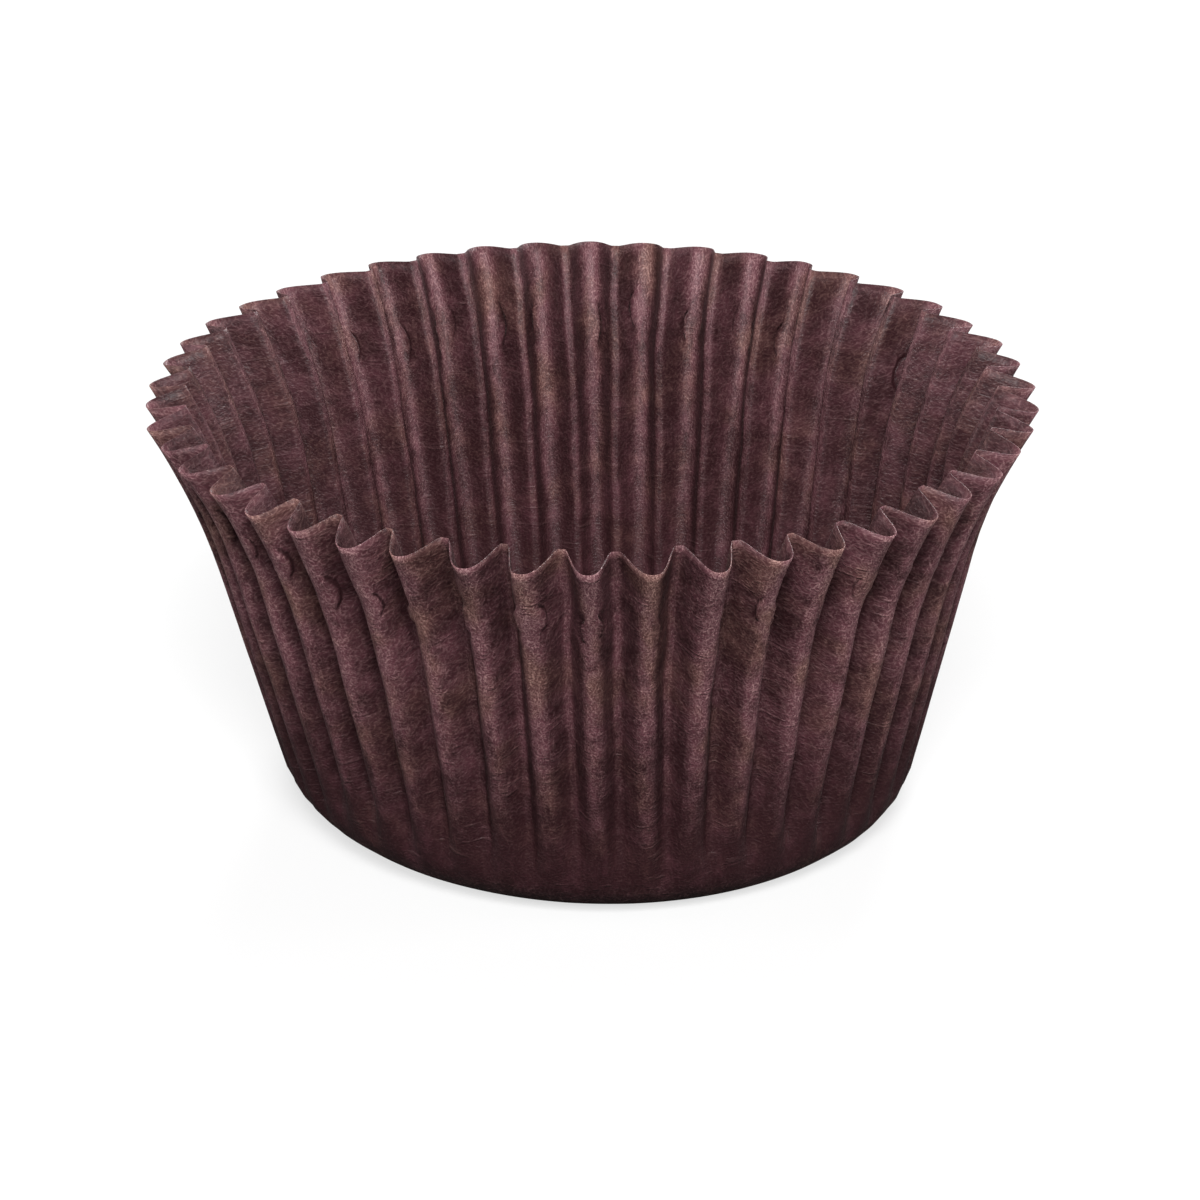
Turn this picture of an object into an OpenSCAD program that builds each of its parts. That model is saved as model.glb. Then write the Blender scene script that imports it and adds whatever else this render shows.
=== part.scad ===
// Cupcake liner: one round sheet of greaseproof paper, pressed into a flat base and a pleated wall.
// The origin is the centre of the base, with +Z up through the mouth.

/* [Sheet] */
// Width of the base, out to where the slope of the wall would meet it
base_d = 51; // [44:0.5:58]
// Length of the wall along an outer fold, from the base to the rim
wall_l = 38; // [30:0.5:50]
// Width of the rim over its outer folds
rim_d = 76; // [70:0.5:88]
// Thickness of the paper
paper_t = 0.08; // [0.05:0.01:0.2]

/* [Folds] */
// Radius of the bend between the base and the wall
bend_r = 2.5; // [1:0.1:4]
// How far the rim turns out past the straight slope of the wall
flare = 1.2; // [0:0.1:3]
// Height of the band under the rim that turns out
flare_h = 9; // [5:0.5:14]

/* [Pleats] */
// Number of pleats round the wall
pleat_count = 46; // [36:1:56]
// Share of the spare paper that goes into the depth of the pleats
take_up = 1; // [0.7:0.01:1]
// Length of the wall over which the pleats grow from nothing to that depth
grow_l = 5; // [2:0.5:8]
// Share of each flank that is rounded into its outer fold
outer_round = 0.6; // [0.3:0.05:0.7]
// Share of each flank that is rounded into its inner fold
inner_round = 0.2; // [0.1:0.05:0.3]

/* [Hidden] */

// Places along one pleat, from its first inner fold at 0 past its outer fold at 0.5
pleat_steps = [0.04, 0.26, 0.42, 0.58, 0.74, 0.96];
// Parts that the bend and the turned-out band are each divided into, and rows of the slope between
bend_parts = 2;
flare_parts = 2;
slope_rows = [0.2, 0.5, 1];

base_r = base_d / 2;
rim_r = rim_d / 2;
rim_z = sqrt(wall_l ^ 2 - (rim_r - base_r) ^ 2);
lean = atan2(rim_r - flare - base_r, rim_z);
bend_sweep = 90 - lean;
floor_r = base_r - bend_r * tan(bend_sweep / 2);
bend_l = bend_r * bend_sweep * PI / 180;
bend_top = [floor_r + bend_r * sin(bend_sweep), bend_r * (1 - cos(bend_sweep))];
slope_top = rim_z - flare_h;

// Radius over the outer folds at height z of the wall
function wall_r(z) = base_r + z * tan(lean) + flare * max(0, (z - slope_top) / flare_h) ^ 2;

// Each row round the sheet is [radius over the outer folds, height, turn from level]
bend_rings = [
    for (i = [0 : bend_parts])
        let (turn = bend_sweep * i / bend_parts)
        [floor_r + bend_r * sin(turn), bend_r * (1 - cos(turn)), turn]
];
slope_rings = [
    for (row = slope_rows)
        let (z = bend_top.y + (slope_top - bend_top.y) * row)
        [wall_r(z), z, bend_sweep]
];
flare_rings = [
    for (i = [1 : flare_parts])
        let (z = slope_top + flare_h * i / flare_parts)
        [wall_r(z), z, bend_sweep]
];
rings = concat(bend_rings, slope_rings, flare_rings);

// Radius that a row had while the sheet was flat
function flat_r(ring) =
    ring.z < bend_sweep
    ? floor_r + bend_r * ring.z * PI / 180
    : floor_r + bend_l + norm([ring.x, ring.y] - bend_top);

// Share of their full depth that the pleats have grown to in a row
function growth(ring) = min(1, max(0, flat_r(ring) - floor_r - bend_l) / grow_l);

// Depth of the pleats in a row, which take up what its flat circle is longer than the wall is round
function depth(ring) =
    growth(ring) * take_up * PI / pleat_count * sqrt(max(0, flat_r(ring) ^ 2 - ring.x ^ 2));

// Rise of a flank, where across and rise both run from 0 at the inner fold to 1 at the outer fold
slant = 1 / (1 - (inner_round + outer_round) / 2);
function rise(across) =
    across < inner_round ? slant * across ^ 2 / (2 * inner_round)
    : across > 1 - outer_round ? 1 - slant * (1 - across) ^ 2 / (2 * outer_round)
    : slant * (across - inner_round / 2);

// Rise along a whole pleat, up one flank and down the other
function pleat(step) = rise(1 - abs(1 - 2 * step));
crest = max([for (step = pleat_steps) pleat(step)]);

// Paper as it is cut square to the wall, where the flanks of the pleats lie across it on a slant
function skin(ring) = paper_t * norm([1, depth(ring) * pleat_count / (PI * ring.x)]);

// Point of the sheet at one place of a row, moved in square to the wall from the outer folds
function sheet_point(ring, angle, inset) =
    let (r = ring.x - inset * sin(ring.z))
    [r * cos(angle), r * sin(angle), ring.y + inset * cos(ring.z)];

// All rows of the outer face of the sheet, or with side = 1 of the inner face
function face_points(side) = [
    for (ring = rings, k = [0 : pleat_count - 1], step = pleat_steps)
        sheet_point(
            ring,
            360 * (k + step - 0.5) / pleat_count - 90,
            depth(ring) * (crest - pleat(step)) + side * skin(ring)
        )
];

module liner() {
    around = pleat_count * len(pleat_steps);
    top = len(rings) - 1;
    inner = len(rings) * around;

    // Number of point i of a row, on the face whose points begin at first
    function at(first, row, i) = first + row * around + i % around;

    outer_face = [
        for (row = [0 : top - 1], i = [0 : around - 1])
            [at(0, row, i), at(0, row + 1, i), at(0, row + 1, i + 1), at(0, row, i + 1)]
    ];
    inner_face = [
        for (row = [0 : top - 1], i = [0 : around - 1])
            [at(inner, row, i), at(inner, row, i + 1), at(inner, row + 1, i + 1), at(inner, row + 1, i)]
    ];
    rim = [
        for (i = [0 : around - 1])
            [at(0, top, i), at(inner, top, i), at(inner, top, i + 1), at(0, top, i + 1)]
    ];
    underside = [for (i = [0 : around - 1]) at(0, 0, i)];
    floor_face = [for (i = [around - 1 : -1 : 0]) at(inner, 0, i)];

    color("#4a2f2c")
        polyhedron(
            points = concat(face_points(0), face_points(1)),
            faces = concat(outer_face, inner_face, rim, [underside, floor_face]),
            convexity = 12
        );
}

liner();
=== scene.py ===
"""A cupcake liner in dark brown greaseproof paper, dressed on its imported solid.

The whole liner is one sheet, laid out row by row in a Geometry Nodes tree. The rim's width is the
solid's, and the foot, the slope and the flare are set nearer to the photograph's. The buckles and
the cockle of pressed paper are added.
"""

import logging
import math
from dataclasses import dataclass
from enum import Enum
from typing import Union

import bpy
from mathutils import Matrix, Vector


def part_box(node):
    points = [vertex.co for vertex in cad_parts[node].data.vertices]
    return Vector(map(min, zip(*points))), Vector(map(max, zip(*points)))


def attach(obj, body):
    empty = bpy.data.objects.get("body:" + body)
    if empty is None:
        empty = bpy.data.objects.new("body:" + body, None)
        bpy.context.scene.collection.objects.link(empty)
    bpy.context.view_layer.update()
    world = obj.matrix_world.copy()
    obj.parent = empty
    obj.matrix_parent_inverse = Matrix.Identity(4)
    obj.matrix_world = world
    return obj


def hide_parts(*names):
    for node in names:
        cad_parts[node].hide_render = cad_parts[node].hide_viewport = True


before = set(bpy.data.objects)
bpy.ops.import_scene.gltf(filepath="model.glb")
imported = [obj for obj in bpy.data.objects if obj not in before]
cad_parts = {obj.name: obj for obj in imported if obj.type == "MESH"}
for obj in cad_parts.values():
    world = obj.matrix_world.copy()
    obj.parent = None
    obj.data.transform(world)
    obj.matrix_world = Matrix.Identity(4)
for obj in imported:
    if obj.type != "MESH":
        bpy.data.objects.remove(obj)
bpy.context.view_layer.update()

MM = 0.001
NODE = "liner"
BODY = "root"
# Share of the liner's height that the camera and the lamps point at
AIM_HEIGHT = 0.47
# Base of the bell curve, to three places
EULER = 2.718
# Points nearer to each other than this are one point, in the sheet and where its two layers meet
MERGE = 0.01 * MM
MERGE_LAYERS = 0.004 * MM
# A buckle's own direction isn't worked out nearer to its centre than this share of its radius
NEAR_CENTRE = 0.05
# The map shows each layer of the sheet as a disc: its radius, where the outer layer's centre lies on
# both axes, how much further the inner layer's lies, and the share that the cut edge widens it by
MAP_DISC = 0.28
MAP_OUTSIDE = 0.29
MAP_TO_INSIDE = 0.42
MAP_EDGE = 0.02

log = logging.getLogger("liner")


class Kept(Enum):
    """What each value of a named attribute belongs to."""

    POINT = "POINT"
    CORNER = "CORNER"
    FACE = "FACE"


class Kind(Enum):
    """What a named attribute holds."""

    NUMBER = "FLOAT"
    VECTOR = "FLOAT_VECTOR"
    MAP = "FLOAT2"
    MARK = "BOOLEAN"


class Lot(Enum):
    """Which random number of a fold or a flank is drawn."""

    RIM = 1
    DEPTH = 2
    OUTER_FLARE = 3
    OUTER_SWING = 4
    INNER_SWING = 5
    INNER_FLARE = 6
    START = 7
    BUCKLE_REACH = 11
    BUCKLE_BESIDE = 12
    BUCKLE_DOWN = 13
    BUCKLE_STRENGTH = 14


@dataclass(frozen=True)
class Wire:
    """A number that flows through a node tree, with arithmetic that adds Math nodes."""

    tree: bpy.types.NodeTree
    socket: bpy.types.NodeSocket

    def _math(self, operation: str, *values: "Number") -> "Wire":
        """Adds one Math node.

        Args:
            operation: Blender's name of the operation.
            values: the node's inputs in order.

        Returns:
            The node's result.
        """
        node = self.tree.nodes.new("ShaderNodeMath")
        node.operation = operation
        for place, value in enumerate(values):
            feed(self.tree, node.inputs[place], value)
        return Wire(self.tree, node.outputs[0])

    def __add__(self, other: "Number") -> "Wire":
        """Sum."""
        return self._math("ADD", self, other)

    def __radd__(self, other: "Number") -> "Wire":
        """Sum, with a plain number first."""
        return self._math("ADD", other, self)

    def __sub__(self, other: "Number") -> "Wire":
        """Difference."""
        return self._math("SUBTRACT", self, other)

    def __rsub__(self, other: "Number") -> "Wire":
        """Difference from a plain number."""
        return self._math("SUBTRACT", other, self)

    def __mul__(self, other: "Number") -> "Wire":
        """Product."""
        return self._math("MULTIPLY", self, other)

    def __rmul__(self, other: "Number") -> "Wire":
        """Product, with a plain number first."""
        return self._math("MULTIPLY", other, self)

    def __truediv__(self, other: "Number") -> "Wire":
        """Quotient."""
        return self._math("DIVIDE", self, other)

    def __rtruediv__(self, other: "Number") -> "Wire":
        """Quotient of a plain number by this one."""
        return self._math("DIVIDE", other, self)

    def __pow__(self, other: "Number") -> "Wire":
        """Power."""
        return self._math("POWER", self, other)

    def __abs__(self) -> "Wire":
        """Size without sign."""
        return self._math("ABSOLUTE", self)

    def at_least(self, other: "Number") -> "Wire":
        """The larger of the two."""
        return self._math("MAXIMUM", self, other)

    def at_most(self, other: "Number") -> "Wire":
        """The smaller of the two."""
        return self._math("MINIMUM", self, other)

    def sine(self) -> "Wire":
        """Sine of an angle in radians."""
        return self._math("SINE", self)

    def cosine(self) -> "Wire":
        """Cosine of an angle in radians."""
        return self._math("COSINE", self)

    def root(self) -> "Wire":
        """Square root, of no less than 0."""
        return self._math("SQRT", self.at_least(0.0))

    def fraction(self) -> "Wire":
        """Part after the decimal point."""
        return self._math("FRACT", self)

    def floor(self) -> "Wire":
        """Whole number at or below this one."""
        return self._math("FLOOR", self)

    def below(self, other: "Number") -> "Wire":
        """1 where this number is less than the other, otherwise 0."""
        return self._math("LESS_THAN", self, other)

    def remainder(self, other: "Number") -> "Wire":
        """What is left over after dividing by the other."""
        return self._math("FLOORED_MODULO", self, other)

    def bell(self, width: "Number") -> "Wire":
        """1 where this number is 0, falling smoothly to nothing a few widths away."""
        share = self / width
        return EULER ** (0.0 - share * share)

    def __rpow__(self, other: "Number") -> "Wire":
        """A plain number to this power."""
        return self._math("POWER", other, self)

    def ramp(self, start: "Number", end: "Number", low: float = 0.0, high: float = 1.0,
             soft: bool = False) -> "Wire":
        """Runs from low to high while this number runs from start to end.

        Args:
            start: where the ramp begins.
            end: where it ends.
            low: the value up to start.
            high: the value from end on.
            soft: whether both ends of the ramp are eased.

        Returns:
            The value on the ramp, held at low and high outside it.
        """
        node = self.tree.nodes.new("ShaderNodeMapRange")
        node.interpolation_type = "SMOOTHSTEP" if soft else "LINEAR"
        node.clamp = True
        for place, value in enumerate((self, start, end, low, high)):
            feed(self.tree, node.inputs[place], value)
        return Wire(self.tree, node.outputs[0])


Number = Union[Wire, float, int]


def feed(tree: bpy.types.NodeTree, socket: bpy.types.NodeSocket, value: object) -> None:
    """Sets an input socket, by a link if the value comes from another node.

    Args:
        tree: the tree that holds the socket.
        socket: the input to set.
        value: a Wire, another node's output, or a plain value.
    """
    if isinstance(value, Wire):
        tree.links.new(value.socket, socket)
    elif isinstance(value, bpy.types.NodeSocket):
        tree.links.new(value, socket)
    else:
        socket.default_value = value


class Tree:
    """A node tree that is filled from the script, for a mesh or for a material."""

    def __init__(self, tree: bpy.types.NodeTree) -> None:
        """Takes the empty tree to fill."""
        self.tree = tree

    def add(self, kind: str, inputs: dict | None = None, **settings: object) -> bpy.types.Node:
        """Adds one node.

        Args:
            kind: Blender's name of the node type.
            inputs: values or links for its inputs, by name or by number.
            settings: values for its own properties.

        Returns:
            The new node.
        """
        node = self.tree.nodes.new(kind)
        for name, value in settings.items():
            setattr(node, name, value)
        for name, value in (inputs or {}).items():
            feed(self.tree, node.inputs[name], value)
        return node

    def wire(self, node: bpy.types.Node, output: str | int = 0) -> Wire:
        """An output of a node as a number to reckon with."""
        return Wire(self.tree, node.outputs[output])

    def vector(self, x: Number, y: Number, z: Number = 0.0) -> bpy.types.NodeSocket:
        """Three numbers joined to a vector."""
        return self.add("ShaderNodeCombineXYZ", {0: x, 1: y, 2: z}).outputs[0]

    def parts(self, vector: bpy.types.NodeSocket) -> tuple[Wire, Wire, Wire]:
        """The three numbers of a vector."""
        node = self.add("ShaderNodeSeparateXYZ", {0: vector})
        return self.wire(node, 0), self.wire(node, 1), self.wire(node, 2)

    def store(self, mesh: bpy.types.NodeSocket, name: str, value: object, kind: Kind,
              kept: Kept) -> bpy.types.NodeSocket:
        """Keeps a value on a mesh as a named attribute.

        Args:
            mesh: the mesh to keep it on.
            name: the attribute's name.
            value: the value at each place.
            kind: what the value is.
            kept: what each value belongs to.

        Returns:
            The mesh with its attribute.
        """
        node = self.add(
            "GeometryNodeStoreNamedAttribute", {"Geometry": mesh, "Name": name, "Value": value},
            data_type=kind.value, domain=kept.value,
        )
        return node.outputs[0]

    def recall(self, name: str, kind: Kind) -> bpy.types.NodeSocket:
        """The value of a named attribute, in a tree that shapes a mesh."""
        return self.add("GeometryNodeInputNamedAttribute", {"Name": name}, data_type=kind.value).outputs[0]

    def noise(self, vector: bpy.types.NodeSocket, scale: float, detail: float = 2.0,
              roughness: float = 0.5) -> Wire:
        """Soft random values from 0 to 1 over a vector, with about scale bumps to a unit."""
        node = self.add(
            "ShaderNodeTexNoise",
            {"Vector": vector, "Scale": scale, "Detail": detail, "Roughness": roughness},
        )
        return self.wire(node, 0)


@dataclass(frozen=True)
class LinerSizes:
    """The driving sizes of the liner, in metres and as shares."""

    rim_r: float
    base_r: float = 26.6 * MM
    wall_l: float = 38.0 * MM
    bend_r: float = 5.2 * MM
    flare: float = 2.1 * MM
    flare_h: float = 12.5 * MM
    paper_t: float = 0.08 * MM
    pleats: int = 46
    take_up: float = 1.0
    outer_round: float = 0.62
    outer_curve: float = 2.5
    inner_round: float = 0.08
    inner_flat: float = 0.12

    @property
    def rim_z(self) -> float:
        """Height of the rim over its outer folds."""
        return math.sqrt(self.wall_l ** 2 - (self.rim_r - self.base_r) ** 2)

    @property
    def sweep(self) -> float:
        """Turn of the bend between base and wall, in radians."""
        return math.pi / 2 - math.atan2(self.rim_r - self.flare - self.base_r, self.rim_z)

    @property
    def floor_r(self) -> float:
        """Radius of the flat part of the base."""
        return self.base_r - self.bend_r * math.tan(self.sweep / 2)

    @property
    def bend_l(self) -> float:
        """Length of paper in the bend."""
        return self.bend_r * self.sweep

    @property
    def slope_l(self) -> float:
        """Length of paper from the bend to the rim, along an outer fold."""
        bend_z = self.bend_r * (1 - math.cos(self.sweep))
        return (self.rim_z - bend_z) / math.sin(self.sweep)

    @property
    def sheet_r(self) -> float:
        """Radius of the flat round sheet."""
        return self.floor_r + self.bend_l + self.slope_l


@dataclass(frozen=True)
class Handling:
    """How far pressing and handling leave the paper from its ideal shape, in metres and shares.

    Each pair of bumps says how fine a random wave is, round the wall and up it. Folds start at
    random between two distances from the flat floor's edge, and grow to their depth from there.
    """

    fold_stray: float = 0.055
    wander: float = 0.12
    wander_bumps: tuple[float, float] = (8.0, 120.0)
    slack: float = 1.5 * MM
    slack_turn: float = math.radians(-140.0)
    depth_stray: float = 0.07
    rim_stray: float = 0.25 * MM
    flare_stray: float = 0.3
    off_middle: float = 0.9 * MM
    out_of_round: float = 0.35 * MM
    round_bumps: tuple[float, float] = (1.1, 12.0)
    round_start: float = 4.0 * MM
    cockle: float = 0.07 * MM
    cockle_bumps: float = 260.0
    buckle: float = 0.4 * MM
    fold_start: tuple[float, float] = (2.0 * MM, 5.6 * MM)
    fold_grow: float = 6.0 * MM
    seed: int = 7


@dataclass(frozen=True)
class Crescents:
    """Sizes and places of the small buckles on the flanks, in metres and shares.

    Each is an arc round a centre that lies beside the outer fold and down from the rim. The first
    four are the least and greatest values. A puff inside the arc and a hollow outside it each have
    a distance from the centre, a width and a height, as shares of the arc's radius and of a buckle.
    """

    reach: tuple[float, float] = (0.85 * MM, 1.5 * MM)
    beside: tuple[float, float] = (0.5 * MM, 1.0 * MM)
    down: tuple[float, float] = (5.4 * MM, 7.2 * MM)
    strength: tuple[float, float] = (-0.3, 1.8)
    length: float = 1.35
    flank: float = 4.2 * MM
    arc: tuple[float, float] = (0.2, 0.9)
    puff: tuple[float, float, float] = (0.75, 0.30, 0.6)
    hollow: tuple[float, float, float] = (1.20, 0.25, 0.9)


@dataclass(frozen=True)
class Rows:
    """How many rows of the mesh each part of the sheet gets, and how many steps each pleat.

    The band of the buckles lies between two distances down from the rim, in metres.
    """

    floor: int = 5
    bend: int = 5
    slope: int = 13
    buckles: int = 23
    edge: int = 3
    buckle_band: tuple[float, float] = (10.2 * MM, 2.4 * MM)
    steps: int = 22

    def zones(self, sizes: LinerSizes) -> list[tuple[int, float]]:
        """Rows and length of each band from the centre of the sheet to its edge."""
        low, high = self.buckle_band
        return [
            (self.floor, sizes.floor_r),
            (self.bend, sizes.bend_l),
            (self.slope, sizes.slope_l - low),
            (self.buckles, low - high),
            (self.edge, high),
        ]


@dataclass
class PleatedSheet:
    """The whole liner: one sheet of paper, pleated round a flat base."""

    sizes: LinerSizes
    handling: Handling
    crescents: Crescents
    rows: Rows
    paper: bpy.types.Material
    cut_edge: bpy.types.Material

    def _inputs(self) -> dict[str, float]:
        """Names and values of the tree's inputs."""
        s, h = self.sizes, self.handling
        return {
            "Floor Radius": s.floor_r,
            "Bend Radius": s.bend_r,
            "Bend Sweep": s.sweep,
            "Slope Length": s.slope_l,
            "Flare": s.flare,
            "Flare Height": s.flare_h,
            "Pleats": s.pleats,
            "Take Up": s.take_up,
            "Outer Round": s.outer_round,
            "Outer Curve": s.outer_curve,
            "Inner Round": s.inner_round,
            "Inner Flat": s.inner_flat,
            "Paper": s.paper_t,
            "Fold Stray": h.fold_stray,
            "Wander": h.wander,
            "Slack": h.slack,
            "Slack Turn": h.slack_turn,
            "Depth Stray": h.depth_stray,
            "Rim Stray": h.rim_stray,
            "Flare Stray": h.flare_stray,
            "Off Middle": h.off_middle,
            "Out Of Round": h.out_of_round,
            "Cockle": h.cockle,
            "Buckle": h.buckle,
            "Seed": h.seed,
        }

    def _open_tree(self) -> tuple[Tree, dict[str, Wire]]:
        """Makes the empty tree, and gives it back with each of its inputs by name."""
        tree = bpy.data.node_groups.new("pleated_sheet", "GeometryNodeTree")
        for name, value in self._inputs().items():
            kind = "Int" if isinstance(value, int) else "Float"
            socket = tree.interface.new_socket(name=name, in_out="INPUT", socket_type=f"NodeSocket{kind}")
            socket.default_value = value
        for name in ("Paper Finish", "Edge Finish"):
            tree.interface.new_socket(name=name, in_out="INPUT", socket_type="NodeSocketMaterial")
        tree.interface.new_socket(name="Mesh", in_out="OUTPUT", socket_type="NodeSocketGeometry")
        filler = Tree(tree)
        group = filler.add("NodeGroupInput")
        return filler, {socket.name: Wire(tree, socket) for socket in group.outputs if socket.name}

    def _pick(self, t: Tree, index: Wire, seed: Wire, lot: Lot, low: float = -1.0,
              high: float = 1.0) -> Wire:
        """One random number for each fold or flank.

        Args:
            t: the tree to add to.
            index: the number of the fold or flank.
            seed: the liner's own seed.
            lot: which of its random numbers is wanted.
            low: least value.
            high: greatest value.

        Returns:
            The random number.
        """
        node = t.add("FunctionNodeRandomValue", data_type="FLOAT")
        feed(t.tree, node.inputs[2], low)
        feed(t.tree, node.inputs[3], high)
        feed(t.tree, node.inputs["ID"], index)
        feed(t.tree, node.inputs["Seed"], seed + lot.value)
        return t.wire(node, 1)

    def _lay_out(self, t: Tree, value: dict[str, Wire]) -> tuple[bpy.types.NodeSocket, dict[str, Wire]]:
        """Lays a flat grid out as rows of the sheet and places along its pleats.

        Args:
            t: the tree to add to.
            value: the tree's inputs by name.

        Returns:
            The grid, and for each point its fold number, its share of the flank and its
            distance from the centre of the flat sheet.
        """
        zones = self.rows.zones(self.sizes)
        total = sum(rows for rows, _ in zones)
        around = self.sizes.pleats * self.rows.steps
        grid = t.add(
            "GeometryNodeMeshGrid",
            {"Size X": 1.0, "Size Y": 1.0, "Vertices X": around + 1, "Vertices Y": total + 1},
        )
        x, y, _ = t.parts(t.add("GeometryNodeInputPosition").outputs[0])
        place = (x + 0.5) * value["Pleats"]
        row = (y + 0.5) * float(total)
        from_centre: Number = 0.0
        done = 0
        for number, (rows, length) in enumerate(zones):
            share = row.ramp(float(done), float(done + rows))
            if number == 0:
                share = 1.0 - (1.0 - share) ** 2.0
            from_centre = share * length + from_centre
            done += rows
        pleat_share = place.fraction()
        across = 1.0 - abs(1.0 - 2.0 * pleat_share)
        eased = 0.5 - 0.5 * (across * math.pi).cosine()
        across = 0.5 * eased + 0.5 * across
        return grid.outputs["Mesh"], {
            "fold": place.floor().remainder(value["Pleats"]),
            "valley": (place + 0.5).floor().remainder(value["Pleats"]),
            "right": 1.0 - pleat_share.below(0.5),
            "across": across,
            "from_centre": from_centre,
        }

    def _even_angle(self, value: dict[str, Wire], at: dict[str, Wire]) -> Wire:
        """Angle of each point from the first fold in radians, before any fold strays."""
        half = (at["across"] - 1.0) * 0.5 * (1.0 - 2.0 * at["right"])
        return (at["fold"] + half) * (2.0 * math.pi / value["Pleats"])

    def _rise(self, value: dict[str, Wire], across: Wire) -> Wire:
        """Rise of a flank from 0 at its flat inner fold to 1 at its round outer fold.

        Args:
            value: the tree's inputs by name.
            across: share of the flank from its inner fold to its outer fold.

        Returns:
            The rise, with the inner fold's corner and the whole nose of the outer fold rounded.
        """
        inner, outer, flat = value["Inner Round"], value["Outer Round"], value["Inner Flat"]
        curve = value["Outer Curve"]
        share = ((across - flat) / (1.0 - flat)).at_least(0.0)
        slant = 1.0 / (1.0 - inner * 0.5 - outer * (1.0 - 1.0 / curve))
        corner = (inner - share).at_least(0.0) ** 2.0 / (inner * 2.0)
        flank = slant * (share.at_most(1.0 - outer) - inner * 0.5 + corner)
        left = (1.0 - share).at_most(outer) / outer
        nose = slant * outer / curve * (1.0 - left ** curve)
        return flank + nose

    def _depth(self, t: Tree, value: dict[str, Wire], at: dict[str, Wire], radius: Wire,
               share_up: Wire, flat_r: Wire) -> Wire:
        """Depth of the pleats, which take up what the flat circle is longer than the wall is round.

        Args:
            t: the tree to add to.
            value: the tree's inputs by name.
            at: what _lay_out says of each point.
            radius: the wall's radius over its outer folds.
            share_up: how far up the wall each point lies, from 0 to 1.
            flat_r: distance from the sheet's centre at which its slack ends.

        Returns:
            The depth at each point.
        """
        s, seed = at["from_centre"], value["Seed"]
        spare = (s * s - radius * radius).root()
        depth = value["Take Up"] * math.pi / value["Pleats"] * spare
        stray = self._pick(t, at["valley"], seed, Lot.DEPTH)
        depth = depth * (1.0 + value["Depth Stray"] * stray * share_up)
        start = flat_r + self._pick(t, at["valley"], seed, Lot.START, *self.handling.fold_start)
        return depth * s.ramp(start, start + self.handling.fold_grow, soft=True)

    def _angle(self, t: Tree, value: dict[str, Wire], at: dict[str, Wire], even: Wire, rise: Wire,
               share_up: Wire, height: Wire) -> Wire:
        """Angle of each point round the liner, with every fold a little off its even place.

        Args:
            t: the tree to add to.
            value: the tree's inputs by name.
            at: what _lay_out says of each point.
            even: the point's even angle, from the first fold.
            rise: rise of the flank at the point.
            share_up: how far up the wall each point lies, from 0 to 1.
            height: height of the outer folds at the point.

        Returns:
            The angle in radians, where the first fold points along -Y.
        """
        bumps_round, bumps_up = self.handling.wander_bumps
        lie = t.vector(even.cosine() * bumps_round, even.sine() * bumps_round, height * bumps_up)
        wander = (t.noise(lie, 1.0, detail=1.0) - 0.5) * 2.0 * value["Wander"]
        swing_out = self._pick(t, at["fold"], value["Seed"], Lot.OUTER_SWING)
        swing_in = self._pick(t, at["valley"], value["Seed"], Lot.INNER_SWING)
        swing = value["Fold Stray"] * (rise * swing_out + (1.0 - rise) * swing_in)
        pitch = 2.0 * math.pi / value["Pleats"]
        return even + (swing + wander) * share_up ** 0.7 * pitch - math.pi / 2

    def _press(self, t: Tree, value: dict[str, Wire], at: dict[str, Wire]) -> bpy.types.NodeSocket:
        """Where each point of the sheet lies once it is pressed.

        Args:
            t: the tree to add to.
            value: the tree's inputs by name.
            at: what _lay_out says of each point.

        Returns:
            The position.
        """
        s, seed = at["from_centre"], value["Seed"]
        floor_r, bend_r = value["Floor Radius"], value["Bend Radius"]
        sweep, slope_l = value["Bend Sweep"], value["Slope Length"]
        rise = self._rise(value, at["across"])
        even = self._even_angle(value, at)
        slack = ((even - math.pi / 2 - value["Slack Turn"]).cosine().at_least(0.0) ** 3.0) * value["Slack"]
        floor_r = floor_r - slack * math.tan(self.sizes.sweep / 2)
        bend_r = bend_r + slack
        turn = ((s - floor_r) / bend_r).at_least(0.0).at_most(sweep)
        up = (s - floor_r - bend_r * sweep).at_least(0.0)
        share_up = up / slope_l

        stray_out = self._pick(t, at["fold"], seed, Lot.RIM)
        flare_out = self._pick(t, at["fold"], seed, Lot.OUTER_FLARE)
        flare_in = self._pick(t, at["valley"], seed, Lot.INNER_FLARE)
        flare_stray = rise * flare_out + (1.0 - rise) * flare_in
        flare_h = value["Flare Height"] * (1.0 + value["Flare Stray"] * flare_stray)
        into_flare = ((up - slope_l + flare_h) / flare_h).at_least(0.0)
        radius = (
            s.at_most(floor_r) + bend_r * turn.sine() + up * sweep.cosine()
            + value["Flare"] * into_flare ** 2.0
        )
        height = bend_r * (1.0 - turn.cosine()) + up * sweep.sine()

        depth = self._depth(t, value, at, radius, share_up, floor_r + slack)
        inset = depth * (1.0 - rise) - value["Rim Stray"] * stray_out * rise * share_up ** 1.5
        angle = self._angle(t, value, at, even, rise, share_up, height)

        bumps_round, bumps_up = self.handling.round_bumps
        ring = t.vector(angle.cosine(), angle.sine(), height * bumps_up)
        wobble = (t.noise(ring, bumps_round, detail=1.0) - 0.5) * 2.0 * value["Out Of Round"]
        radius = radius + wobble * height.ramp(0.0, self.handling.round_start) * (0.4 + 0.6 * share_up)
        r = radius - inset * turn.sine()
        aside = value["Off Middle"] * height / self.sizes.rim_z
        return t.vector(r * angle.cosine() - aside, r * angle.sine(), height + inset * turn.cosine())

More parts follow.
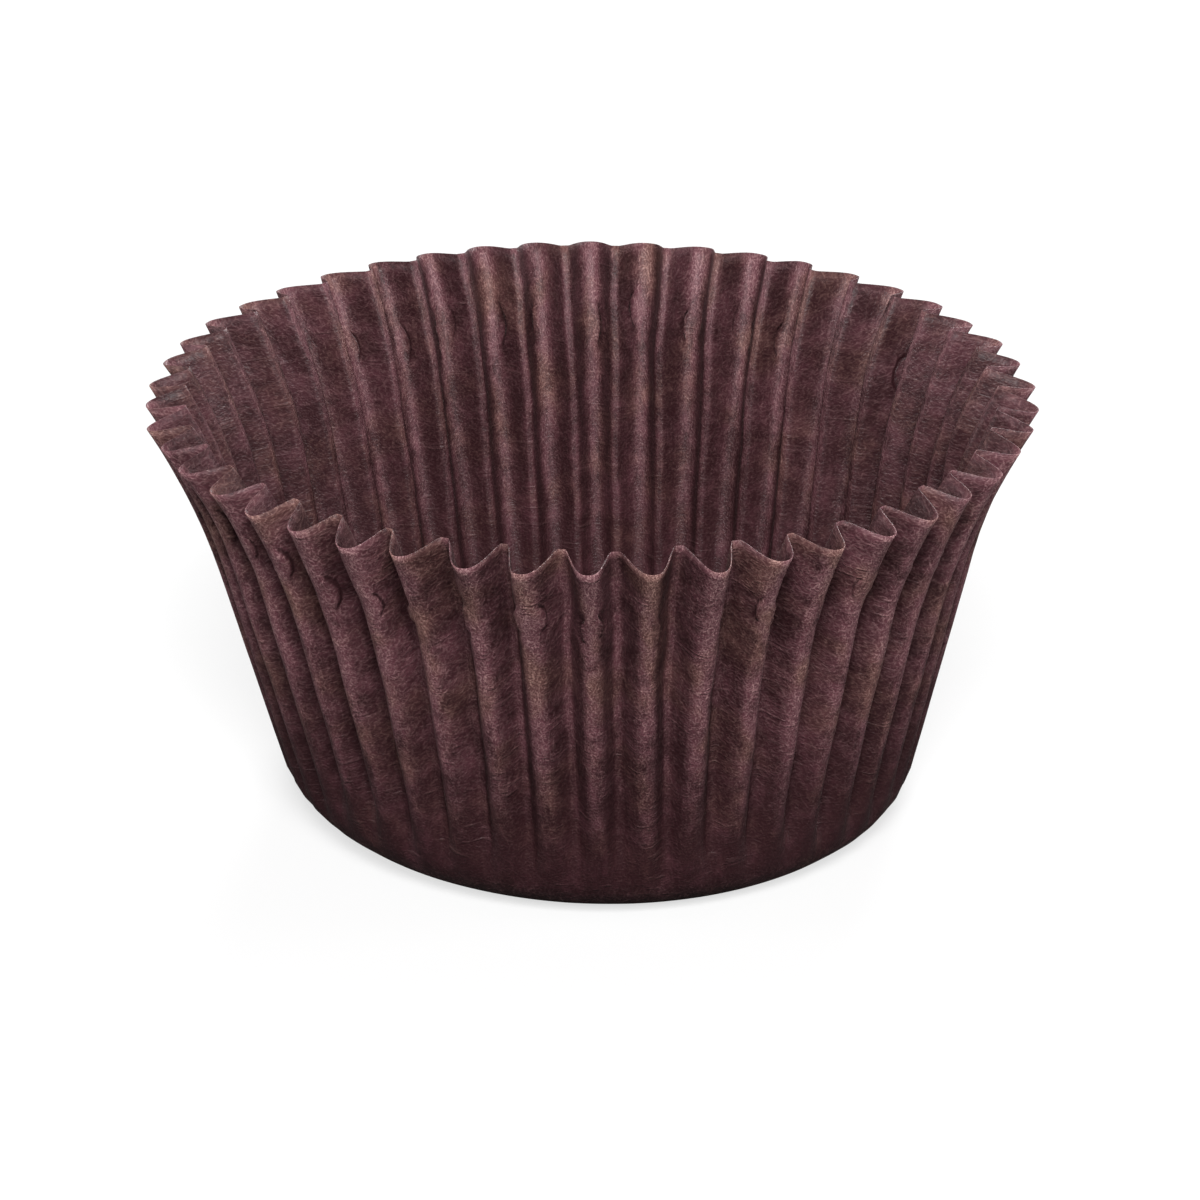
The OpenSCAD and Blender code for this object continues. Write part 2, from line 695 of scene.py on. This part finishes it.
    def _buckle_frame(self, t: Tree, value: dict[str, Wire], at: dict[str, Wire],
                      flank: Wire) -> tuple[Wire, Wire, Wire]:
        """Where each point lies from the middle of its flank's crescent buckle.

        Args:
            t: the tree to add to.
            value: the tree's inputs by name.
            at: what _lay_out says of each point.
            flank: number of the flank.

        Returns:
            How far across the flank and how far down the point lies from the middle of the
            crescent's circle, as shares of its radius, and how strong the buckle is.
        """
        seed, ranges = value["Seed"], self.crescents
        reach = self._pick(t, flank, seed, Lot.BUCKLE_REACH, *ranges.reach)
        beside = self._pick(t, flank, seed, Lot.BUCKLE_BESIDE, *ranges.beside)
        down = self._pick(t, flank, seed, Lot.BUCKLE_DOWN, *ranges.down)
        strength = self._pick(t, flank, seed, Lot.BUCKLE_STRENGTH, *ranges.strength)
        x = (1.0 - at["across"]) * ranges.flank - beside
        y = self.sizes.sheet_r - at["from_centre"] - down
        return x / reach, y / (reach * ranges.length), strength.at_least(0.0).at_most(1.0)

    def _buckles(self, x: Wire, y: Wire, strength: Wire) -> Wire:
        """Height of the small crescent buckles on the flanks below the rim.

        Args:
            x: place across the flank from the middle of the crescent's circle, in its radii.
            y: place down the flank from there.
            strength: how strong the buckle is, from 0 to 1.

        Returns:
            How far each point stands out of its flank, as a share of a full buckle.
        """
        away = (x * x + y * y).root()
        side = (x / away.at_least(NEAR_CENTRE)).ramp(*self.crescents.arc, soft=True)
        puff_at, puff_width, puff_height = self.crescents.puff
        hollow_at, hollow_width, hollow_depth = self.crescents.hollow
        puff = (away - puff_at).bell(puff_width)
        hollow = (away - hollow_at).bell(hollow_width)
        return strength * side * (puff_height * puff - hollow_depth * hollow)

    def _shape(self) -> bpy.types.NodeTree:
        """Builds the whole tree, and gives it back finished."""
        t, value = self._open_tree()
        grid, at = self._lay_out(t, value)

        angle = self._even_angle(value, at)
        s = at["from_centre"]
        marks = {
            "sheet": t.vector(s * angle.cosine(), s * angle.sine(), 0.0),
            "fold": t.vector(self._rise(value, at["across"]), at["across"], s),
        }
        mesh = grid
        for name, vector in marks.items():
            mesh = t.store(mesh, name, vector, Kind.VECTOR, Kept.POINT)
        flank = at["fold"] * 2.0 + at["right"]
        bulge = self._buckles(*self._buckle_frame(t, value, at, flank)) * value["Buckle"]
        mesh = t.store(mesh, "bulge", bulge, Kind.NUMBER, Kept.POINT)
        whole_flank = t.add("GeometryNodeFieldOnDomain", {0: flank}, data_type="FLOAT", domain="FACE")
        frame_of_buckle = self._buckle_frame(t, value, at, t.wire(whole_flank))
        mesh = t.store(mesh, "buckle", t.vector(*frame_of_buckle), Kind.VECTOR, Kept.CORNER)
        mesh = t.add(
            "GeometryNodeSetPosition", {"Geometry": mesh, "Position": self._press(t, value, at)}
        ).outputs[0]
        mesh = t.add("GeometryNodeMergeByDistance", {"Geometry": mesh, "Distance": MERGE}).outputs[0]

        normal = t.add("GeometryNodeInputNormal").outputs[0]
        sheet = t.recall("sheet", Kind.VECTOR)
        dent = Wire(t.tree, t.recall("bulge", Kind.NUMBER))
        from_centre = t.wire(t.add("ShaderNodeVectorMath", {0: sheet}, operation="LENGTH"), "Value")
        on_wall = from_centre.ramp(self.sizes.floor_r, self.sizes.floor_r + self.handling.fold_grow)
        cockle = t.noise(sheet, self.handling.cockle_bumps, detail=2.0) - 0.5
        shift_by = dent + cockle * value["Cockle"] * on_wall
        shift = t.add("ShaderNodeVectorMath", {0: normal, "Scale": shift_by}, operation="SCALE")
        mesh = t.add("GeometryNodeSetPosition", {"Geometry": mesh, "Offset": shift.outputs[0]}).outputs[0]

        self._thicken(t, value, mesh)
        return t.tree

    def _thicken(self, t: Tree, value: dict[str, Wire], mesh: bpy.types.NodeSocket) -> None:
        """Gives the sheet its thickness, its map and its finishes, and ends the tree.

        Args:
            t: the tree to add to.
            value: the tree's inputs by name.
            mesh: the pressed sheet, one layer thick.
        """
        inner = t.add(
            "GeometryNodeExtrudeMesh",
            {"Mesh": mesh, "Offset Scale": 0.0 - value["Paper"], "Individual": False},
            mode="FACES",
        )
        flipped = t.add("GeometryNodeFlipFaces", {"Mesh": inner.outputs["Mesh"]}).outputs[0]
        marked = t.store(flipped, "edge", inner.outputs["Side"], Kind.MARK, Kept.FACE)
        marked = t.store(marked, "inside", inner.outputs["Top"], Kind.MARK, Kept.FACE)
        marked = t.store(marked, "pushed", inner.outputs["Top"], Kind.NUMBER, Kept.POINT)
        join = t.add("GeometryNodeJoinGeometry")
        for layer in (marked, mesh):
            t.tree.links.new(layer, join.inputs[0])
        shell = t.add(
            "GeometryNodeMergeByDistance", {"Geometry": join.outputs[0], "Distance": MERGE_LAYERS}
        ).outputs[0]

        edge = t.recall("edge", Kind.MARK)
        inside = Wire(t.tree, t.recall("inside", Kind.MARK))
        brink = Wire(t.tree, edge) * Wire(t.tree, t.recall("pushed", Kind.NUMBER))
        x, y, _ = t.parts(t.recall("sheet", Kind.VECTOR))
        disc = MAP_DISC / self.sizes.sheet_r * (1.0 + MAP_EDGE * brink)
        corner = MAP_OUTSIDE + inside * MAP_TO_INSIDE
        bake_map = t.vector(x * disc + corner, y * disc + corner)
        shell = t.store(shell, "OFBake", bake_map, Kind.MAP, Kept.CORNER)
        smooth = t.add("FunctionNodeBooleanMath", {0: edge}, operation="NOT").outputs[0]
        shell = t.add(
            "GeometryNodeSetShadeSmooth", {"Geometry": shell, "Shade Smooth": smooth}, domain="FACE"
        ).outputs[0]
        shell = t.add("GeometryNodeRealizeInstances", {"Geometry": shell}).outputs[0]
        for faces, finish in ((True, "Paper Finish"), (edge, "Edge Finish")):
            shell = t.add(
                "GeometryNodeSetMaterial",
                {"Geometry": shell, "Selection": faces, "Material": value[finish]},
            ).outputs[0]
        t.add("NodeGroupOutput", {"Mesh": shell})

    def build(self) -> bpy.types.Object:
        """Evaluates the tree and keeps its result as a plain mesh.

        Returns:
            The finished object, at the origin.
        """
        tree = self._shape()
        piece = bpy.data.objects.new("paper_liner", bpy.data.meshes.new("paper_liner_start"))
        bpy.context.scene.collection.objects.link(piece)
        modifier = piece.modifiers.new("pleats", "NODES")
        modifier.node_group = tree
        finishes = {"Paper Finish": self.paper, "Edge Finish": self.cut_edge}
        for item in tree.interface.items_tree:
            if item.in_out == "INPUT" and item.name in finishes:
                modifier[item.identifier] = finishes[item.name]
        graph = bpy.context.evaluated_depsgraph_get()
        mesh = bpy.data.meshes.new_from_object(
            piece.evaluated_get(graph), preserve_all_data_layers=True, depsgraph=graph
        )
        piece.modifiers.remove(modifier)
        for place in reversed(range(len(mesh.materials))):
            if mesh.materials[place] is None:
                mesh.materials.pop(index=place)
        piece.data = mesh
        mesh.name = "paper_liner"
        return piece


@dataclass(frozen=True)
class PressedPaper:
    """Fibres, clouds, creases and folds of pressed paper, with rubbed wear, painted highlight and painted
    shade on the folds, as one node group for every finish.

    A scale is the number of bumps to a metre of the sheet. Each ramp gives where it starts, where
    it ends, and its value at the end that isn't 0 or 1. Lengths are in metres.
    """

    bend_end: float
    name: str = "pressed_paper"
    fibre_spacing: tuple[float, float, float] = (0.46 * MM, 0.34 * MM, 0.95 * MM)
    fibre_layers: tuple[float, float, float] = (0.0, 0.013, 0.031)
    fibre_shares: tuple[float, float, float] = (1.0, 1.0, 0.7)
    fibre_bow: float = 0.9
    fibre_width: tuple[float, float] = (0.04, 0.15)
    fibre_length: tuple[float, float] = (0.30, 0.65)
    grain_scale: float = 4200.0
    cloud_scale: float = 520.0
    patch_scale: float = 170.0
    broad_scale: float = 60.0
    streak_scale: tuple[float, float] = (24.0, 130.0)
    wrinkle_scale: tuple[float, float] = (14.0, 2600.0)
    wrinkle_drifts: float = 300.0
    # Lightening of the folds: partly rubbed wear, partly painted highlight on the noses and flat inner
    # folds, with painted shade left on the flanks. It grows up the wall and near the rim, so the wall is
    # darker towards the base.
    lighten_start: float = 2.5 * MM
    lighten_height: float = 20.0 * MM
    lip: tuple[float, float, float] = (23.0 * MM, 33.5 * MM, 0.75)
    nose: tuple[float, float, float] = (0.48, 0.95, 0.25)
    strip: tuple[float, float, float] = (0.08, 0.17, 0.17)
    inside_lessened: float = 0.5
    crease_arc: tuple[float, float] = (0.30, 0.75)
    crease_width: float = 0.11
    crease_ragged: float = 0.30
    wall_start: float = 5.0 * MM
    relief: float = 0.045 * MM

    def _fibres(self, t: Tree, sheet: bpy.types.NodeSocket, spacing: float, shift: float) -> Wire:
        """A layer of short curved fibres that lie every way.

        Args:
            t: the group's tree.
            sheet: place on the flat sheet, in metres.
            spacing: distance between fibres.
            shift: moves the layer off the others.

        Returns:
            1 on a fibre and 0 between them.
        """
        moved = t.add("ShaderNodeVectorMath", {0: sheet, 1: (shift, shift * 0.7, 0.0)}, operation="ADD")
        cells = t.add(
            "ShaderNodeTexVoronoi",
            {"Vector": moved.outputs[0], "Scale": 1.0 / spacing},
            voronoi_dimensions="2D", feature="F1",
        )
        off = t.add(
            "ShaderNodeVectorMath",
            {0: moved.outputs[0], 1: cells.outputs["Position"]},
            operation="SUBTRACT",
        )
        dx, dy, _ = t.parts(off.outputs[0])
        red, green, blue = t.parts(cells.outputs["Color"])
        angle = red * (2.0 * math.pi)
        along = (dx * angle.cosine() + dy * angle.sine()) / spacing
        beside = (dy * angle.cosine() - dx * angle.sine()) / spacing
        bent = abs(beside + (green - 0.5) * self.fibre_bow * along * along)
        stroke = bent.ramp(*self.fibre_width, 1.0, 0.0) * abs(along).ramp(*self.fibre_length, 1.0, 0.0)
        return stroke * (0.2 + 0.8 * blue)

    def _blend(self, t: Tree, factor: Number, low: object, high: object) -> bpy.types.NodeSocket:
        """Mixes two colours.

        Args:
            t: the group's tree.
            factor: 0 for the first colour and 1 for the second.
            low: the first colour, from a node.
            high: the second colour.

        Returns:
            The mixed colour.
        """
        node = t.add("ShaderNodeMix", data_type="RGBA", clamp_factor=True)
        feed(t.tree, node.inputs[6], low)
        feed(t.tree, node.inputs[7], high)
        feed(t.tree, node.inputs[0], factor)
        return node.outputs[2]

    def _crescent(self, t: Tree) -> Wire:
        """The sharp crease round each buckle, 1 in its line and 0 away from it."""
        x, y, strength = t.parts(t.add("ShaderNodeAttribute", attribute_name="buckle").outputs["Vector"])
        place = t.vector(x, y, strength * 40.0)
        ragged = (t.noise(place, 2.6, detail=3.0) - 0.5) * self.crease_ragged
        away = (x * x + y * y).root()
        side = (x / away.at_least(NEAR_CENTRE)).ramp(*self.crease_arc, soft=True)
        return (away - 1.0 + ragged).bell(self.crease_width) * side * strength.ramp(0.0, 0.8)

    def _rubbed_and_lit(self, t: Tree, across: Wire, out: Wire) -> Wire:
        """How far the colour is lightened, 1 along the noses of the folds near the rim.

        Args:
            t: the group's tree.
            across: share of the flank from its inner fold to its outer fold.
            out: distance from the centre of the flat sheet.

        Returns:
            The share lightened, partly by rubbed wear and partly as painted highlight.
        """
        inside = t.wire(t.add("ShaderNodeAttribute", attribute_name="inside"), "Fac")
        # Painted highlight along the noses and the flat inner folds, mixed with rubbed wear; the flanks
        # between keep more of the dark colour as painted shade.
        nose = across.ramp(*self.nose, 1.0, soft=True) * (1.0 - self.inside_lessened * inside)
        strip = across.ramp(*self.strip, 0.0, soft=True)
        # Lighter up the wall and near the rim, darker towards the base.
        height = out.ramp(self.bend_end + self.lighten_start, self.bend_end + self.lighten_height, 0.0, 1.0)
        lip_start, lip_end, lip_share = self.lip
        lip = out.ramp(self.bend_end + lip_start, self.bend_end + lip_end, 0.0, lip_share)
        return (nose + strip) * (height + lip)

    def _ringed(self, t: Tree, sheet: bpy.types.NodeSocket, out: Wire, around: float,
                along: float) -> bpy.types.NodeSocket:
        """A place on the sheet for noise whose bumps are drawn out around it or along its folds.

        Args:
            t: the group's tree.
            sheet: place on the flat sheet, in metres.
            out: distance from its centre.
            around: radius of the noise's own circle, in bumps.
            along: bumps to a metre from the centre outwards.

        Returns:
            The place to read the noise at.
        """
        x, y, _ = t.parts(sheet)
        cosine, sine = x / out.at_least(MM), y / out.at_least(MM)
        return t.vector(cosine * around, sine * around, out * along)

    def _open_group(self) -> bpy.types.NodeTree:
        """Makes the empty group with its inputs and outputs."""
        tree = bpy.data.node_groups.new(self.name, "ShaderNodeTree")
        for side, kind, names in (
            ("INPUT", "Color", ("Shade", "Wine", "Olive", "Fibre", "Straw")),
            ("INPUT", "Float", ("Dull", "Matt")),
            ("OUTPUT", "Color", ("Colour",)),
            ("OUTPUT", "Float", ("Roughness",)),
            ("OUTPUT", "Vector", ("Normal",)),
        ):
            for name in names:
                tree.interface.new_socket(name=name, in_out=side, socket_type=f"NodeSocket{kind}")
        return tree

    def build(self) -> bpy.types.NodeTree:
        """Makes the group.

        Returns:
            The group, with a finish's colours as inputs, and its colour, roughness and normal
            as outputs.
        """
        tree = self._open_group()
        t = Tree(tree)
        given = t.add("NodeGroupInput")
        value = {socket.name: Wire(tree, socket) for socket in given.outputs if socket.name}

        sheet = t.add("ShaderNodeAttribute", attribute_name="sheet").outputs["Vector"]
        _, across, out = t.parts(t.add("ShaderNodeAttribute", attribute_name="fold").outputs["Vector"])
        fibre: Number = 0.0
        for spacing, shift, share in zip(self.fibre_spacing, self.fibre_layers, self.fibre_shares):
            fibre = share * self._fibres(t, sheet, spacing, shift) + fibre
        grain = t.noise(sheet, self.grain_scale, detail=1.5, roughness=0.6).ramp(0.46, 0.68)
        cloud = t.noise(sheet, self.cloud_scale, detail=4.0, roughness=0.65)
        patch = t.noise(sheet, self.patch_scale, detail=2.0, roughness=0.55)
        broad = t.noise(sheet, self.broad_scale, detail=1.0)
        streak = t.noise(self._ringed(t, sheet, out, *self.streak_scale), 1.0, detail=3.0, roughness=0.6)
        wrinkle = t.noise(self._ringed(t, sheet, out, *self.wrinkle_scale), 1.0, detail=1.0)
        drifts = t.noise(sheet, self.wrinkle_drifts, detail=1.0)
        wrinkle = wrinkle.ramp(0.58, 0.70) * drifts.ramp(0.50, 0.60)
        crescent = self._crescent(t)

        on_wall = out.ramp(self.bend_end - self.wall_start, self.bend_end, soft=True)
        streak = (streak - 0.5) * on_wall
        wrinkle = wrinkle * on_wall
        mottle = (cloud - 0.5) * 2.6 + (broad - 0.5) * 0.8 + streak * 1.6
        # Rubbed wear and painted highlight on the folds, broken up by the mottle.
        worn_and_lit = (self._rubbed_and_lit(t, across, out) * (1.0 + mottle)).at_least(0.0)
        brown = patch.ramp(0.44, 0.68, soft=True)
        body = self._blend(t, brown, value["Wine"], value["Olive"])
        # The crease of each buckle takes more of the dark colour: painted shade in the crease. The
        # lightened folds take less of it.
        dull = value["Dull"] - mottle * 0.5 + crescent * 0.6 - worn_and_lit * 1.1
        body = self._blend(t, dull, body, value["Shade"])
        # Fibres show more where the folds are lightened, by wear and painted highlight, and less in the
        # buckle creases, as painted shade.
        pale = (
            ((fibre * 0.5).at_most(0.7) + grain * 0.34)
            * (0.07 + 0.87 * worn_and_lit + (cloud * 2.4 - 0.66) * (1.0 - on_wall) - 0.5 * crescent).at_least(0.0)
            + worn_and_lit * 0.04 + wrinkle * 0.05
        )
        body = self._blend(t, pale, body, self._blend(t, brown, value["Fibre"], value["Straw"]))

        relief = cloud * 2.2 + grain * 0.6 + streak * 1.8 + wrinkle * 0.8 - crescent * 2.6
        bump = t.add("ShaderNodeBump", {"Strength": 1.0, "Distance": self.relief, "Height": relief})
        gloss = value["Matt"] + (cloud - 0.5) * 0.25 - fibre * 0.06
        t.add("NodeGroupOutput", {"Colour": body, "Roughness": gloss, "Normal": bump.outputs[0]})
        return tree


@dataclass(frozen=True)
class PaperFinish:
    """Dyed greaseproof paper: matt, with a dull sheen and a warm glow against the light."""

    name: str
    shade: tuple[float, float, float] = (0.0350, 0.0104, 0.0132)
    wine: tuple[float, float, float] = (0.126, 0.041, 0.055)
    olive: tuple[float, float, float] = (0.124, 0.050, 0.048)
    fibre: tuple[float, float, float] = (0.480, 0.272, 0.276)
    straw: tuple[float, float, float] = (0.500, 0.286, 0.246)
    glow: tuple[float, float, float] = (0.42, 0.075, 0.025)
    through: float = 0.05
    dull: float = 1.0
    matt: float = 0.52
    specular: float = 0.3
    sheen: float = 0.03
    sheen_rough: float = 0.08
    sheen_tint: tuple[float, float, float] = (1.0, 0.80, 0.74)

    def build(self, group: bpy.types.NodeTree) -> bpy.types.Material:
        """Makes the material.

        Args:
            group: the pressed paper's node group.

        Returns:
            The finished material.
        """
        material = bpy.data.materials.new(self.name)
        material.use_nodes = True
        material.node_tree.nodes.clear()
        t = Tree(material.node_tree)
        paper = t.add("ShaderNodeGroup", node_tree=group)
        values = {
            "Shade": (*self.shade, 1.0), "Wine": (*self.wine, 1.0), "Olive": (*self.olive, 1.0),
            "Fibre": (*self.fibre, 1.0), "Straw": (*self.straw, 1.0),
            "Dull": self.dull, "Matt": self.matt,
        }
        for name, value in values.items():
            feed(t.tree, paper.inputs[name], value)
        face = t.add(
            "ShaderNodeBsdfPrincipled",
            {"Base Color": paper.outputs["Colour"], "Roughness": paper.outputs["Roughness"],
             "Normal": paper.outputs["Normal"], "Specular IOR Level": self.specular,
             "Sheen Weight": self.sheen, "Sheen Roughness": self.sheen_rough,
             "Sheen Tint": (*self.sheen_tint, 1.0)},
        )
        behind = t.add(
            "ShaderNodeBsdfTranslucent", {"Color": (*self.glow, 1.0), "Normal": paper.outputs["Normal"]}
        )
        blend = t.add(
            "ShaderNodeMixShader", {0: self.through, 1: face.outputs[0], 2: behind.outputs[0]}
        )
        t.add("ShaderNodeOutputMaterial", {"Surface": blend.outputs[0]})
        return material


@dataclass(frozen=True)
class Lamp:
    """One square soft lamp: where it hangs, the side of its square and its power in watts."""

    name: str
    place: tuple[float, float, float]
    size: float
    power: float


@dataclass
class Studio:
    """A plain pale floor, soft lamps and the camera."""

    target: tuple[float, float, float]
    distance: float = 456.0 * MM
    elevation: float = math.radians(24.2)
    lens: float = 158.0
    sensor: float = 36.0
    near: float = 10.0 * MM
    floor_reach: float = 0.9
    floor_drop: float = 0.03 * MM
    floor_seen: float = 0.98
    floor_cast: float = 0.06
    shadow_lift: float = 0.7
    surround: float = 0.045
    lamps: tuple[Lamp, ...] = (
        Lamp("key", (0.02, -0.83, 0.80), 0.45, 17.0),
        Lamp("top", (0.0, 0.2, 1.1), 0.8, 0.8),
        Lamp("rear", (0.15, 0.85, 0.62), 0.5, 8.0),
        Lamp("left_side", (-0.95, 0.04, 0.16), 0.3, 2.6),
        Lamp("right_side", (0.95, 0.04, 0.16), 0.3, 2.8),
    )

    def _hang(self, lamp: Lamp) -> None:
        """Adds one lamp that points at the liner."""
        data = bpy.data.lights.new(lamp.name, "AREA")
        data.size = lamp.size
        data.energy = lamp.power
        light = bpy.data.objects.new(lamp.name, data)
        light.location = lamp.place
        light.rotation_euler = self._aim(lamp.place)
        bpy.context.scene.collection.objects.link(light)

    def _aim(self, place: tuple[float, float, float]) -> tuple[float, float, float]:
        """The turn of a lamp or camera at place that makes it face the target."""
        dx, dy, dz = (there - here for here, there in zip(place, self.target))
        flat = math.hypot(dx, dy)
        return (math.atan2(flat, -dz), 0.0, math.atan2(-dx, dy))

    def _white(self) -> bpy.types.Material:
        """A matt white for the floor, which throws little light on the liner and keeps its shadow light."""
        material = bpy.data.materials.new("pale_floor")
        material.use_nodes = True
        material.node_tree.nodes.clear()
        t = Tree(material.node_tree)
        ray = t.wire(t.add("ShaderNodeLightPath"), "Is Camera Ray")
        shade = self.floor_cast + ray * (self.floor_seen - self.floor_cast)
        colour = t.add("ShaderNodeCombineColor", {0: shade, 1: shade, 2: shade}).outputs[0]
        matt = t.add("ShaderNodeBsdfDiffuse", {"Color": colour})
        white = t.add("ShaderNodeEmission", {"Color": (1.0, 1.0, 1.0, 1.0), "Strength": self.floor_seen})
        mixed = t.add(
            "ShaderNodeMixShader", {0: ray * self.shadow_lift, 1: matt.outputs[0], 2: white.outputs[0]}
        )
        t.add("ShaderNodeOutputMaterial", {"Surface": mixed.outputs[0]})
        return material

    def _lay_floor(self) -> None:
        """Adds the floor, a hair below the liner's base."""
        mesh = bpy.data.meshes.new("floor")
        signs = ((-1, -1), (1, -1), (1, 1), (-1, 1))
        corners = [(x * self.floor_reach, y * self.floor_reach, -self.floor_drop) for x, y in signs]
        mesh.from_pydata(corners, [], [(0, 1, 2, 3)])
        floor = bpy.data.objects.new("floor", mesh)
        mesh.materials.append(self._white())
        bpy.context.scene.collection.objects.link(floor)

    def _fill_world(self) -> None:
        """Makes the surround white to the camera and dim to the liner."""
        world = bpy.data.worlds.new("studio")
        world.use_nodes = True
        bpy.context.scene.world = world
        t = Tree(world.node_tree)
        ray = t.wire(t.add("ShaderNodeLightPath"), "Is Camera Ray")
        background = world.node_tree.nodes["Background"]
        background.inputs["Color"].default_value = (1.0, 1.0, 1.0, 1.0)
        feed(world.node_tree, background.inputs["Strength"], self.surround + ray * (1.0 - self.surround))

    def _set_camera(self) -> None:
        """Adds the camera, at the photograph's height above the horizon."""
        data = bpy.data.cameras.new("camera")
        data.lens = self.lens
        data.sensor_width = self.sensor
        data.clip_start = self.near
        camera = bpy.data.objects.new("camera", data)
        tx, ty, tz = self.target
        camera.location = (
            tx, ty - self.distance * math.cos(self.elevation), tz + self.distance * math.sin(self.elevation)
        )
        camera.rotation_euler = self._aim(tuple(camera.location))
        bpy.context.scene.collection.objects.link(camera)
        bpy.context.scene.camera = camera
        bpy.context.scene.view_settings.view_transform = "Standard"

    def build(self) -> None:
        """Sets the floor, the lamps, the world and the camera."""
        self._lay_floor()
        for lamp in self.lamps:
            self._hang(lamp)
        self._fill_world()
        self._set_camera()


def main() -> None:
    """Builds the studio and the liner, in that order."""
    logging.basicConfig(level=logging.INFO, format="%(name)s: %(message)s")
    low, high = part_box(NODE)
    sizes = LinerSizes(rim_r=(high[1] - low[1]) / 2)
    Studio(target=(0.0, 0.0, high[2] * AIM_HEIGHT)).build()
    log.info("studio set")
    group = PressedPaper(bend_end=sizes.floor_r + sizes.bend_l).build()
    paper = PaperFinish("brown_paper").build(group)
    # The cut edge is a little darker than the faces: painted shade against the light that its upward face
    # catches.
    cut_edge = PaperFinish("cut_paper_edge", dull=1.1).build(group)
    liner = PleatedSheet(sizes, Handling(), Crescents(), Rows(), paper, cut_edge).build()
    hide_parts(NODE)
    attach(liner, BODY)
    log.info("%s: %d faces", liner.name, len(liner.data.polygons))


if __name__ == "__main__":
    main()
